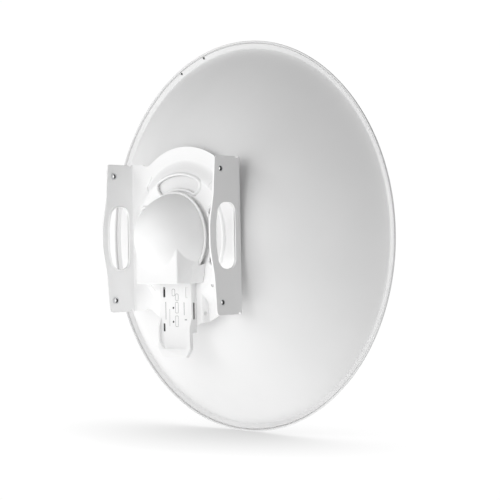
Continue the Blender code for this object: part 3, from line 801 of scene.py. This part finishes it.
def make_bracket(paint):
    """The folded sheet, cut to its outline, with its lips, collars and stamped marks."""
    bracket = bracket_sheet()
    carve(bracket, plate_trim(1))
    carve(bracket, plate_trim(-1))
    ends = []
    for sign in (1, -1):
        low, high = sorted((sign * FLANGE_Z, sign * FAR))
        for side in (1, -1):
            x_low, x_high = sorted((side * (PLATE_SHOULDER_X - 0.001), side * FAR))
            ends.append(block((x_low, -FAR, low), (x_high, 0.02, high)))
    carve(bracket, together(ends))
    carve(bracket, flange_trim())
    across = [prism_along("X", slot_outline(), -FAR, FAR)]
    for sign in (1, -1):
        hole = ring_points(FLANGE_HOLE_RADIUS, 32, (FLANGE_HOLE_Y, sign * FLANGE_HOLE_Z))
        across.append(prism_along("X", hole, -FAR, FAR))
        notch = ring_points(0.003, 24, (-0.0065, sign * FLANGE_Z))
        across.append(prism_along("X", notch, -FAR, FAR))
    carve(bracket, together(across))
    through = [prism_along("Y", ring_points(PLATE_HOLE_RADIUS, 96), -0.02, 0.02)]
    for turn in (0.0, 90.0, 270.0):
        through.append(prism_along("Y", window_outline(turn, WINDOW_LIP), -0.02, 0.02))
    through.append(prism_along("Y", ring_points(0.0026, 20, (0.0714, -0.0774)), -0.02, 0.02))
    carve(bracket, together(through))
    shapes = [take_mesh(bracket)]
    shapes += [window_lip(turn) for turn in (0.0, 90.0, 270.0)]
    shapes += [slot_collar(side) for side in (1, -1)]

    def on_plate(u, v, height):
        return (u, RAISED_Y * pressed(u, v) + 0.0008 - height, v)

    marks = [
        [(-0.0762, 0.0999), (-0.0819, 0.0919), (-0.0874, 0.0839), (-0.0825, 0.0791), (-0.0752, 0.0742), (-0.0710, 0.0650)],
        [(0.0698, 0.0861), (0.0683, 0.0814), (0.0662, 0.0768), (0.0695, 0.0754), (0.0727, 0.0741), (0.0730, 0.0720)],
        [(-0.0731, -0.0772), (-0.0679, -0.0821), (-0.0633, -0.0870)],
    ]
    shapes += [ridge(mark, 0.0006, 0.0017, on_plate) for mark in marks]
    finish("bracket", together(shapes), paint, ("mount_bracket",), normals=False)


def make_clinch_nuts(zinc, dark):
    """Clinch nuts: knurled collar on the inner face, and a bore whose thread is drawn in the dark material as painted
    shade down the hole.
    """
    seat = SHEET + GAP
    shank = FLANGE_HOLE_RADIUS - GAP
    outline = [(0.0036, GAP + 0.0002), (0.0039, GAP), (shank, GAP), (shank, seat), (0.0056, seat)]
    outline += [(0.0058, seat + 0.0003), (0.0058, seat + 0.0012), (0.0054, seat + 0.0016)]
    outline += [(0.0039, seat + 0.0016), (0.0036, seat + 0.0013)]
    thread = [(0.0036, GAP + 0.0004), (0.0036, seat + 0.0012)]
    for step, y in enumerate(spread(seat + 0.0012, GAP + 0.0004, 9)):
        thread.append((0.0029 if step % 2 else 0.0032, y))
    for side, across in (("right", 1), ("left", -1)):
        for level, up in (("upper", 1), ("lower", -1)):
            name = f"clinch_nut_{level}_{side}"
            spot = Vector((across * FOLD_X, FLANGE_HOLE_Y, up * FLANGE_HOLE_Z))
            move = Matrix.Translation(spot) @ Matrix.Rotation(across * math.pi / 2, 4, "Z")
            # The bore's thread takes the dark material: painted shade inside the hole
            for part, shape, material in (("threaded", outline, zinc), ("painted_shade_bore_of", thread, dark)):
                made = turned(shape, 40)
                bmesh.ops.transform(made, matrix=move, verts=made.verts)
                finish(f"{part}_{name}", made, material, (name,))


def make_studs(zinc):
    """Studs with a washer and a domed hexagon nut on the bowl's flat hub."""
    foot = RAISED_Y + SHEET + GAP
    seat = HUB_FLAT_Y + SKIN + GAP
    names = ("upper_right", "lower_right", "lower_left", "upper_left")
    spots = [(0.0625, 0.0625), (0.0625, -0.0625), (-0.0625, -0.0625), (-0.0625, 0.0625)]
    for name, spot in zip(names, spots):
        stud = turned([(0.0, foot), (0.0034, foot), (0.0034, seat), (0.0, seat)], 32, spot)
        washer = [(0.0, seat), (0.0076, seat), (0.0079, seat + 0.0003), (0.0079, seat + 0.0006)]
        washer += [(0.0076, seat + 0.0009), (0.0, seat + 0.0009)]
        dome = [(0.0, seat + 0.0009), (0.0056, seat + 0.0009), (0.0056, seat + 0.0022)]
        for turn in spread(15.0, 90.0, 8):
            way = math.radians(turn)
            dome.append((0.0048 * math.cos(way), seat + 0.0016 + 0.0022 * math.sin(way)))
        hexagon = prism_along("Y", ring_points(0.0062, 6, spot), seat + 0.0009, seat + 0.0024)
        round_edges(hexagon, list(hexagon.edges), 0.0003, 2)
        shapes = [stud, turned(washer, 32, spot), turned(dome, 32, spot), hexagon]
        finish(f"stud_{name}", together(shapes), zinc, (f"screw_{name}",), normals=False)


def make_base(plastic):
    """Drum on the plate, the brim with its joint line, and the neck through plate and bowl."""
    foot = RAISED_Y - GAP
    profile = [
        (0.0, BRIM_BACK_Y),
        (0.0708, BRIM_BACK_Y),
        (0.0716, -0.0240),
        (0.0721, -0.0234),
        (0.0721, -0.0228),
        (0.0714, -0.0227),
        (0.0714, -0.0224),
        (0.0721, -0.0223),
        (0.0721, -0.0215),
        (0.0716, -0.0210),
        (DRUM_RADIUS + 0.0008, -0.0210),
        (DRUM_RADIUS, -0.0202),
        (DRUM_RADIUS, foot),
        (NECK_RADIUS, foot),
        (NECK_RADIUS, NECK_END_Y - 0.0006),
        (NECK_RADIUS - 0.0006, NECK_END_Y),
        (0.0, NECK_END_Y),
    ]
    finish("drum_with_brim", turned(profile, 180), plastic, ("housing_base",))


def flared(at_plate, y):
    """The half width of the box's side at a depth, where it reaches at_plate on the plate."""
    share = (y - BOX_BACK_Y) / (RAISED_Y - GAP - BOX_BACK_Y)
    return BOX_HALF_WIDTH + (at_plate - BOX_HALF_WIDTH) * share


def make_cover(plastic):
    """The moulded cover: a dome that runs softly into a box, with a foot at each lower corner."""
    foot = BRIM_BACK_Y - GAP
    depth = foot - DOME_BACK_Y
    dome = [(0.0, foot)]
    for share in spread(0.0, 1.0, 41):
        way = math.sin(share * math.pi / 2)
        radius = DOME_RADIUS * math.sqrt(max(0.0, 1.0 - way**DOME_POWER))
        dome.append((radius, foot - depth * way))
    cover = as_object("cover_shell", turned(dome, 200))
    outline = [(-BOX_HALF_WIDTH, foot), (BOX_HALF_WIDTH, foot)]
    outline += [(BOX_HALF_WIDTH, BOX_BACK_Y), (-BOX_HALF_WIDTH, BOX_BACK_Y)]
    box = prism_along("Z", outline, BOX_LOW_Z, BOX_TOP_Z)
    bmesh.ops.bisect_plane(
        box,
        geom=list(box.verts) + list(box.edges) + list(box.faces),
        plane_co=(0.0, 0.0, BOX_FLARE_Z),
        plane_no=(0.0, 0.0, 1.0),
    )
    for vert in box.verts:
        if vert.co.y > foot - 0.001:
            vert.co.x = math.copysign(flared(BOX_FLARE[0] if vert.co.z < BOX_FLARE_Z - 0.01 else BOX_FLARE[1], foot), vert.co.x)
    upright = []
    for edge in box.edges:
        first, second = (vert.co for vert in edge.verts)
        if abs(first.z - second.z) > 0.01 and first.y < foot - 0.01 and second.y < foot - 0.01:
            if abs(first.x) > 0.01:
                upright.append(edge)
    round_edges(box, upright, 0.003, 5)
    carve(cover, box, "UNION")
    brim_room = turned([(0.0, -0.03), (0.0724, -0.03), (0.0724, 0.0), (0.0, 0.0)], 160)
    ears = []
    for sign in (1, -1):
        ear = [(0.0368, BOX_LOW_Z), (BOX_FLARE[0], BOX_LOW_Z), (0.0566, -0.0607), (0.0585, -0.0480)]
        ear += [(BOX_FLARE[1], BOX_FLARE_Z), (0.0500, BOX_FLARE_Z), (0.0368, -0.0550)]
        shape = prism_along("Y", [(sign * x, z) for x, z in ear], -0.034, RAISED_Y - GAP)
        for vert in shape.verts:
            if vert.co.y < -0.03 and abs(vert.co.x) > BOX_HALF_WIDTH:
                vert.co.x = sign * flared(abs(vert.co.x), -0.034)
        ears.append(shape)
    ear_shapes = as_object("cover_ears", together(ears))
    carve(ear_shapes, brim_room)
    carve(cover, take_mesh(ear_shapes), "UNION")
    skin = cover.modifiers.new("skin", "REMESH")
    skin.mode = "VOXEL"
    skin.voxel_size = 0.00085
    soft = cover.modifiers.new("soft", "SMOOTH")
    soft.factor = 0.5
    soft.iterations = 5
    keep_modifiers(cover)
    finish(
        "dome_and_box", take_mesh(cover), plastic, ("housing_cover",), 60.0, normals=False
    )


def make_body(plastic, ink, dark):
    """The flat radio body with its socket bay, snap recesses, side slot and printed outlines."""
    section = [
        (RAISED_Y - GAP, BODY_LOW_Z),
        (BODY_BACK_Y, BODY_LOW_Z),
        (BODY_BACK_Y, COVER_TOP_Z + 0.00006),
        (PANEL_Y, COVER_TOP_Z + 0.00006),
        (PANEL_Y, BODY_TOP_Z),
        (RAISED_Y - GAP, BODY_TOP_Z),
    ]
    shell = prism_along("X", section, -BODY_HALF_WIDTH, BODY_HALF_WIDTH)
    corners = []
    for edge in shell.edges:
        first, second = (vert.co for vert in edge.verts)
        if abs(first.z - second.z) > 0.02 and first.y < RAISED_Y - 0.002:
            corners.append(edge)
    round_edges(shell, corners, 0.0008)
    body = as_object("body_shell", shell)
    middle_y = (RAISED_Y + BODY_BACK_Y) / 2
    bay = block((-0.00855, middle_y - 0.0039, BODY_LOW_Z - 0.01), (0.00855, middle_y + 0.0039, -0.1357))
    carve(body, bay)
    carve(body, prism_along("Y", ring_points(DRUM_RADIUS + GAP, 120), -0.03, 0.0))
    cuts = [
        prism_along("Y", round_slot(0.0026, 0.0082, 0.0006, (-0.0262, -0.0883)), -0.03, -0.0180),
        prism_along("Y", round_slot(0.0026, 0.0082, 0.0006, (0.0262, -0.0883)), -0.03, -0.0180),
        prism_along("X", round_slot(0.0019, 0.0133, 0.0006, (-0.0172, -0.1177)), 0.0335, 0.05),
        prism_along("X", round_slot(0.0003, 0.0140, 0.0002, (-0.0166, -0.0890)), 0.0360, 0.05),
        prism_along("X", round_slot(0.0019, 0.0133, 0.0006, (-0.0172, -0.1177)), -0.05, -0.0335),
    ]
    carve(body, together(cuts))
    finish("radio_shell", take_mesh(body), plastic, ("radio_body",), normals=False)
    # Dark blocks on the floors of the side slots: painted shade for the shadow in the deep slots
    shade_fill = []
    for sign in (1, -1):
        low, high = sorted((sign * 0.0336, sign * 0.0346))
        shade_fill.append(soft_block((low, -0.0189, -0.1308), (high, -0.0155, -0.1046), 0.0002, 1))
    finish("side_slot_shade_fill", together(shade_fill), dark, normals=False)

    def on_back(u, v, height):
        return (u, PANEL_Y + 0.0001 - height, v)

    lines = []
    pads = (
        round_slot(0.0036, 0.0088, 0.0016, (0.0032, -0.1127)),
        round_slot(0.0036, 0.0088, 0.0016, (0.0030, -0.1343)),
        round_slot(0.0036, 0.0058, 0.0026, (-0.0043, -0.0885)),
        round_slot(0.0036, 0.0058, 0.0026, (0.0036, -0.0962)),
    )
    for pad in pads:
        inner = drawn_in(pad, 0.0007)
        lines.append(rolled_lip([(pad, 0.0), (pad, 0.0003), (inner, 0.0003), (inner, 0.0)], on_back))
    lines.append(ridge([(-0.0228, -0.1036), (-0.0228, -0.1320)], 0.0006, 0.0003, on_back))
    lines.append(ridge([(0.0200, -0.1040), (0.0200, -0.1240)], 0.0006, 0.0003, on_back))
    lines.append(ridge([(-0.0136, -0.1149), (-0.0139, -0.1420)], 0.0003, 0.0003, on_back))
    lines.append(ridge([(0.0212, -0.1315), (0.0262, -0.1315)], 0.0009, 0.0003, on_back))
    finish("port_outlines", together(lines), ink, normals=False)


def make_lamps(dark):
    """Two small dark status lamps beside the port outlines."""
    lamps = []
    for spot in ((-0.0050, -0.1131), (-0.0051, -0.1353)):
        profile = [(0.0, PANEL_Y + 0.0004), (0.0017, PANEL_Y + 0.0004), (0.0017, PANEL_Y - 0.0003)]
        profile += [(0.0012, PANEL_Y - 0.0005), (0.0, PANEL_Y - 0.0006)]
        lamps.append(turned(profile, 24, spot))
    finish("status_lamps", together(lamps), dark)


def make_socket(dark, metal):
    """The cable socket, open downwards, with its latch notch and eight contacts."""
    middle_y = (RAISED_Y + BODY_BACK_Y) / 2
    low = (-0.00825, middle_y - 0.0036, BODY_LOW_Z)
    high = (0.00825, middle_y + 0.0036, BODY_LOW_Z + 0.016)
    socket = as_object("socket_shell", soft_block(low, high, 0.0004, 2))
    hollow = block((-0.00585, middle_y - 0.0025, BODY_LOW_Z - 0.01), (0.00585, middle_y + 0.0025, -0.140))
    carve(socket, hollow)
    latch = block((-0.0017, middle_y - 0.0034, BODY_LOW_Z - 0.01), (0.0017, middle_y, -0.142))
    carve(socket, latch)
    finish("network_socket", take_mesh(socket), dark, ("cable_socket",), normals=False)
    pins = []
    for step in range(8):
        x = -0.00357 + 0.00102 * step
        pins.append(
            soft_block((x - 0.0002, middle_y + 0.0014, -0.1508), (x + 0.0002, middle_y + 0.0019, -0.1402), 0.0001)
        )
    finish("socket_contacts", together(pins), metal)


def cover_outline(inset, foot, corner, top):
    """The (x, z) outline of the port cover, its lower corners cut off."""
    half = COVER_HALF_WIDTH - inset
    low = COVER_LOW_Z + foot
    return [
        (half, top),
        (half, low + corner * 1.3),
        (half - corner, low),
        (corner - half, low),
        (-half, low + corner * 1.3),
        (-half, top),
    ]


def make_port_cover(plastic):
    """A tongue over the socket, flush with the panel, with a rim round three sides that ramps up."""
    above = COVER_TOP_Z + 0.02
    plate = prism_along("Y", cover_outline(0.0, 0.0, 0.010, above), COVER_RIM_Y, BODY_BACK_Y - GAP)
    cover = as_object("cover_plate", plate)
    tray = cover_outline(0.0036, 0.013, 0.0085, above + 0.01)
    carve(cover, prism_along("Y", tray, COVER_RIM_Y - 0.01, COVER_WEB_Y))
    level = COVER_WEB_Y + 0.00005
    run = 0.01 * (COVER_RAMP_TOP_Z - COVER_RAMP_Z) / (level - COVER_RIM_Y)
    slope = [
        (level, COVER_RAMP_TOP_Z),
        (COVER_RIM_Y - 0.01, COVER_RAMP_Z - run),
        (COVER_RIM_Y - 0.01, above + 0.02),
        (level, above + 0.02),
    ]
    carve(cover, prism_along("X", slope, -0.1, 0.1))
    soft = cover.modifiers.new("soft", "BEVEL")
    soft.width = 0.0005
    soft.segments = 2
    soft.limit_method = "ANGLE"
    soft.angle_limit = math.radians(30)
    keep_modifiers(cover)
    carve(cover, block((-0.1, -0.05, COVER_TOP_Z), (0.1, 0.0, above + 0.02)))
    windows = [
        prism_along("Y", round_slot(0.0021, 0.0064, 0.0006, (-0.0268, -0.1446)), -0.04, 0.0),
        prism_along("Y", round_slot(0.0018, 0.0064, 0.0006, (0.0262, -0.1446)), -0.04, 0.0),
    ]
    carve(cover, together(windows))
    finish("socket_cover", take_mesh(cover), plastic, ("port_cover",), normals=False)


def make_clips(dark, pale):
    """The snap clips: two behind the cover's windows, two spare ones in the body's recesses. The two left clips are
    drawn in the dark material as painted shade in their recesses; the two right ones are pale like the housing.
    """
    # Painted shade: the left clips are dark where their recesses fall in shadow
    lower = soft_block((-0.0332, -0.0229, -0.1512), (-0.0246, BODY_BACK_Y - GAP, -0.1325), 0.0003)
    finish("snap_left", lower, dark, ("cover_clip_left",))
    lower = soft_block((0.0242, -0.0230, -0.1512), (0.0332, BODY_BACK_Y - GAP, -0.1325), 0.0003)
    finish("snap_right", lower, pale, ("cover_clip_right",))
    left = soft_block((-0.0286, -0.0225, -0.0962), (-0.0238, -0.0169, -0.0840), 0.0003)
    flank = soft_block((-0.0332, -0.0195, -0.0920), (-0.0270, -0.0169, -0.0780), 0.0003)
    finish("spare_snap_left", together([left, flank]), dark, ("body_clip_left",))
    right = soft_block((0.0238, -0.0226, -0.0962), (0.0280, -0.0169, -0.0804), 0.0003)
    flank = soft_block((0.0270, -0.0195, -0.0920), (0.0332, -0.0169, -0.0780), 0.0003)
    finish("spare_snap_right", together([right, flank]), pale, ("body_clip_right",))


def make_feed(plastic, metal):
    """The feed on the dish's axis: ribbed collar, tapered tube, cone, sub-reflector and cap."""
    seat = HUB_FLAT_Y + SKIN + GAP
    inner = NECK_RADIUS + GAP
    collar = [(inner, seat), (0.0496, seat), (0.050, seat + 0.0004), (0.050, seat + 0.0032)]
    collar += [(0.0494, seat + 0.0038), (0.0400, seat + 0.0076), (0.0370, seat + 0.0089)]
    collar += [(0.0364, seat + 0.0090), (inner, seat + 0.0090)]
    finish("feed_foot", turned(collar, 120), plastic, ("feed_collar",))
    foot = NECK_END_Y + GAP
    tube = [(0.0, foot), (0.0286, foot), (0.029, foot + 0.0004), (0.029, NECK_END_Y + 0.012)]
    tube += [(0.0284, NECK_END_Y + 0.0124), (0.0284, NECK_END_Y + 0.0136), (0.029, NECK_END_Y + 0.014)]
    for share in spread(0.0, 1.0, 12):
        tube.append((0.029 - 0.0065 * smooth_step(share), NECK_END_Y + 0.038 + 0.034 * share))
    tube += [(0.0225, 0.0976), (0.0221, 0.098), (0.0, 0.098)]
    finish("feed_stem", turned(tube, 120), plastic, ("feed_tube",))
    cone = [(0.0, 0.0983), (0.0195, 0.0983)]
    for share in spread(0.0, 1.0, 10):
        cone.append((0.0195 + 0.0145 * share**1.4, 0.0986 + 0.0140 * share))
    cone += [(0.0336, 0.113), (0.0, 0.113)]
    finish("feed_horn", turned(cone, 120), plastic, ("feed_cone",))
    mirror = [(0.0, 0.1133), (0.0416, 0.1133), (0.042, 0.1137), (0.042, 0.1206), (0.0416, 0.121), (0.0, 0.121)]
    finish("spun_sub_reflector", turned(mirror, 120), metal, ("sub_reflector",))
    cap = [(0.0, 0.1213)]
    for turn in spread(0.0, 90.0, 16):
        way = math.radians(turn)
        cap.append((0.042 * math.cos(way), 0.1213 + 0.0107 * math.sin(way)))
    finish("feed_radome", turned(cap, 120), plastic, ("feed_cap",))


def make_studio():
    """Pale floor, soft light and the photograph's camera."""
    scene = bpy.context.scene
    scene.view_settings.view_transform = "Standard"
    scene.view_settings.look = "None"
    scene.view_settings.exposure = 0.0
    scene.view_settings.gamma = 1.0

    world = bpy.data.worlds.new("studio_world")
    scene.world = world
    world.use_nodes = True
    tree = world.node_tree
    tree.nodes.clear()
    way = add_node(tree, "ShaderNodeTexCoord").outputs["Generated"]
    level = None
    for towards, strength in LIGHT_SOURCES:
        near = add_node(tree, "ShaderNodeVectorMath", {1: towards}, {0: way}, operation="DOT_PRODUCT")
        power = add_node(
            tree,
            "ShaderNodeMath",
            {1: LIGHT_TIGHTNESS, 2: -LIGHT_TIGHTNESS},
            {0: near.outputs["Value"]},
            operation="MULTIPLY_ADD",
        )
        bell = add_node(tree, "ShaderNodeMath", {}, {0: power.outputs[0]}, operation="EXPONENT")
        part = add_node(tree, "ShaderNodeMath", {1: strength, 2: 0.0}, {0: bell.outputs[0]}, operation="MULTIPLY_ADD")
        if level:
            tree.links.new(level, part.inputs[2])
        level = part.outputs[0]
    soft = add_node(tree, "ShaderNodeBackground", {"Color": srgb("FFFFFF")}, {"Strength": level})
    plain = add_node(tree, "ShaderNodeBackground", {"Color": srgb("FFFFFF"), "Strength": 1.02})
    seen = add_node(tree, "ShaderNodeLightPath").outputs["Is Camera Ray"]
    mix = add_node(
        tree,
        "ShaderNodeMixShader",
        {},
        {0: seen, 1: soft.outputs["Background"], 2: plain.outputs["Background"]},
    )
    add_node(tree, "ShaderNodeOutputWorld", {}, {"Surface": mix.outputs[0]})

    floor_maker = bmesh.new()
    bmesh.ops.create_grid(floor_maker, x_segments=1, y_segments=1, size=30.0)
    bmesh.ops.translate(floor_maker, verts=floor_maker.verts, vec=(0.0, 0.0, FLOOR_Z))
    mesh = bpy.data.meshes.new("floor")
    floor_maker.to_mesh(mesh)
    floor_maker.free()
    floor = bpy.data.objects.new("floor", mesh)
    scene.collection.objects.link(floor)
    made = bpy.data.materials.new("glowing_floor_painted_shadow")
    made.use_nodes = True
    tree = made.node_tree
    tree.nodes.clear()
    # Glowing white floor, like light-table acrylic: its emission is darkened by ambient occlusion within 220 mm of
    # what stands on it, a painted contact shadow
    shade = add_node(tree, "ShaderNodeAmbientOcclusion", {"Distance": 0.22}, samples=16)
    level = add_node(tree, "ShaderNodeMath", {1: 0.44, 2: 0.58}, {0: shade.outputs["AO"]}, operation="MULTIPLY_ADD")
    glow = add_node(tree, "ShaderNodeEmission", {"Color": srgb("FFFFFF")}, {"Strength": level.outputs[0]})
    add_node(tree, "ShaderNodeOutputMaterial", {}, {"Surface": glow.outputs[0]})
    mesh.materials.append(made)
    floor.visible_diffuse = False
    floor.visible_glossy = False
    floor.visible_shadow = False

    for place, watts in DIFFUSERS:
        diffuser = bpy.data.lights.new("diffuser", "AREA")
        diffuser.shape = "DISK"
        diffuser.size = 0.5
        diffuser.energy = watts
        lamp = bpy.data.objects.new("diffuser", diffuser)
        lamp.location = HUB + Vector(place)
        lamp.rotation_euler = (-Vector(place)).to_track_quat("-Z", "Y").to_euler()
        lamp.visible_camera = False
        scene.collection.objects.link(lamp)

    azimuth = math.radians(CAMERA_AZIMUTH)
    elevation = math.radians(CAMERA_ELEVATION)
    roll = math.radians(CAMERA_ROLL)
    back = Vector(
        (
            math.sin(azimuth) * math.cos(elevation),
            -math.cos(azimuth) * math.cos(elevation),
            math.sin(elevation),
        )
    )
    right = Vector((math.cos(azimuth), math.sin(azimuth), 0.0))
    up = back.cross(right)
    side = math.cos(roll) * right + math.sin(roll) * up
    top = math.cos(roll) * up - math.sin(roll) * right
    camera_data = bpy.data.cameras.new("camera")
    camera_data.lens = CAMERA_LENS
    camera_data.sensor_width = CAMERA_SENSOR
    camera_data.clip_end = 100.0
    camera = bpy.data.objects.new("camera", camera_data)
    camera.matrix_world = Matrix.Translation(CAMERA_PLACE) @ Matrix((side, top, back)).transposed().to_4x4()
    scene.collection.objects.link(camera)
    scene.camera = camera


make_studio()

dish_paint = powder_coat("dish_powder_coat", "F0F0F0", "EDEDED", 0.42)
bracket_paint = powder_coat("bracket_powder_coat", "FBFBFB", "F8F8F8", 0.38)
asa = moulded_plastic("housing_asa", "F5F5F5", "F2F2F2", 0.46)
# Dark nylon for the socket, lamps and rim plugs; also painted shade in the nut bores, the side slots and the left
# snap clips
dark_nylon_and_painted_shade = moulded_plastic("dark_nylon_and_painted_shade", "2E2E30", "262628", 0.5)
grey_ink = moulded_plastic("grey_printing_ink", "A9A9AA", "A0A0A1", 0.5, 0.0004)
zinc = zinc_plate("zinc_plate", "DCDDDE", 0.42)
aluminium = spun_aluminium("spun_aluminium", "C9CBCD", 0.28)

FINISHES = {
    "reflector_paint": dish_paint,
    "bracket_paint": bracket_paint,
    "housing_plastic": asa,
    "dark_plastic": dark_nylon_and_painted_shade,
    "zinc_steel": zinc,
    "sub_reflector_metal": aluminium,
}
for entry in frame["record"]["subparts"]:
    thing = frame["nodes"][entry["node"]]
    thing.data.materials.clear()
    thing.data.materials.append(FINISHES[entry["material_slot"]])

make_dish(dish_paint, dark_nylon_and_painted_shade)
make_bracket(bracket_paint)
make_clinch_nuts(zinc, dark_nylon_and_painted_shade)
make_studs(zinc)
make_base(asa)
make_cover(asa)
make_body(asa, grey_ink, dark_nylon_and_painted_shade)
make_lamps(dark_nylon_and_painted_shade)
make_socket(dark_nylon_and_painted_shade, aluminium)
make_port_cover(asa)
make_clips(dark_nylon_and_painted_shade, asa)
make_feed(asa, aluminium)
